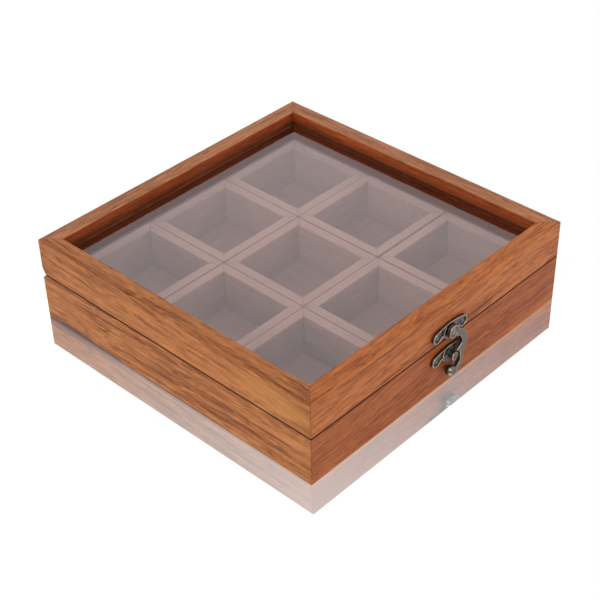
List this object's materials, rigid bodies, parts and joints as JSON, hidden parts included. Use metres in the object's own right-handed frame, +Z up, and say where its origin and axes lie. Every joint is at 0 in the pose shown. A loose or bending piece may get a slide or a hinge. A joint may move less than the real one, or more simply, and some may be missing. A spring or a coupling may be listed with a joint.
{
  "type": "spice box",
  "caption": "Square wooden spice box with loose square cups, a glazed lid on back hinges and a swing hook latch.",
  "frame": {"origin": "middle of the underside of the bottom panel", "axes": "+Z up, -Y out of the front with the latch, +X to the right seen from the front"},
  "size_m": [0.203, 0.2097, 0.0535],
  "materials": {
    "box_wood": "satin oiled hardwood",
    "panel_wood": "plain thin wood panel",
    "lid_wood": "satin oiled hardwood",
    "cup_wood": "plain sanded hardwood",
    "pane": "clear glass",
    "hinge_brass": "plain brass",
    "hinge_steel": "plated steel",
    "latch_bronze": "antique bronze with worn edges"
  },
  "bodies": {
    "box": {"base_front_board": "box_wood", "base_back_board": "box_wood", "base_left_board": "box_wood", "base_right_board": "box_wood", "base_bottom_panel": "panel_wood", "hinge_left_box_leaf": "hinge_brass", "hinge_left_pin": "hinge_steel", "hinge_left_box_screws": "hinge_brass", "hinge_right_box_leaf": "hinge_brass", "hinge_right_pin": "hinge_steel", "hinge_right_box_screws": "hinge_brass", "latch_catch_plate": "latch_bronze", "latch_catch_plate_nails": "latch_bronze"},
    "lid": {"lid_front_rail": "lid_wood", "lid_back_rail": "lid_wood", "lid_left_rail": "lid_wood", "lid_right_rail": "lid_wood", "lid_glass": "pane", "hinge_left_lid_leaf": "hinge_brass", "hinge_left_lid_screws": "hinge_brass", "hinge_right_lid_leaf": "hinge_brass", "hinge_right_lid_screws": "hinge_brass", "latch_hook_plate": "latch_bronze", "latch_hook_plate_nails": "latch_bronze", "latch_pivot_rivet": "latch_bronze"},
    "latch_hook": {"latch_hook": "latch_bronze"},
    "cup_front_left": {"cup_front_left_walls": "cup_wood", "cup_front_left_floor": "cup_wood"},
    "cup_front_middle": {"cup_front_middle_walls": "cup_wood", "cup_front_middle_floor": "cup_wood"},
    "cup_front_right": {"cup_front_right_walls": "cup_wood", "cup_front_right_floor": "cup_wood"},
    "cup_middle_left": {"cup_middle_left_walls": "cup_wood", "cup_middle_left_floor": "cup_wood"},
    "cup_middle_middle": {"cup_middle_middle_walls": "cup_wood", "cup_middle_middle_floor": "cup_wood"},
    "cup_middle_right": {"cup_middle_right_walls": "cup_wood", "cup_middle_right_floor": "cup_wood"},
    "cup_back_left": {"cup_back_left_walls": "cup_wood", "cup_back_left_floor": "cup_wood"},
    "cup_back_middle": {"cup_back_middle_walls": "cup_wood", "cup_back_middle_floor": "cup_wood"},
    "cup_back_right": {"cup_back_right_walls": "cup_wood", "cup_back_right_floor": "cup_wood"}
  },
  "joints": [
    {"name": "lid_hinge", "type": "hinge", "parent": "box", "child": "lid", "pos_m": [0, 0.0988, 0.03075], "axis": [-1, 0, 0], "range_deg": [0, 105]},
    {"name": "latch_hook_pivot", "type": "hinge", "parent": "lid", "child": "latch_hook", "pos_m": [0.0028, -0.1015, 0.0372], "axis": [0, -1, 0], "range_deg": [0, 290]},
    {"name": "cup_front_left_lift", "type": "slide", "parent": "box", "child": "cup_front_left", "axis": [0, 0, 1], "range_m": [0, 0.009]},
    {"name": "cup_front_middle_lift", "type": "slide", "parent": "box", "child": "cup_front_middle", "axis": [0, 0, 1], "range_m": [0, 0.009]},
    {"name": "cup_front_right_lift", "type": "slide", "parent": "box", "child": "cup_front_right", "axis": [0, 0, 1], "range_m": [0, 0.009]},
    {"name": "cup_middle_left_lift", "type": "slide", "parent": "box", "child": "cup_middle_left", "axis": [0, 0, 1], "range_m": [0, 0.009]},
    {"name": "cup_middle_middle_lift", "type": "slide", "parent": "box", "child": "cup_middle_middle", "axis": [0, 0, 1], "range_m": [0, 0.009]},
    {"name": "cup_middle_right_lift", "type": "slide", "parent": "box", "child": "cup_middle_right", "axis": [0, 0, 1], "range_m": [0, 0.009]},
    {"name": "cup_back_left_lift", "type": "slide", "parent": "box", "child": "cup_back_left", "axis": [0, 0, 1], "range_m": [0, 0.009]},
    {"name": "cup_back_middle_lift", "type": "slide", "parent": "box", "child": "cup_back_middle", "axis": [0, 0, 1], "range_m": [0, 0.009]},
    {"name": "cup_back_right_lift", "type": "slide", "parent": "box", "child": "cup_back_right", "axis": [0, 0, 1], "range_m": [0, 0.009]}
  ]
}
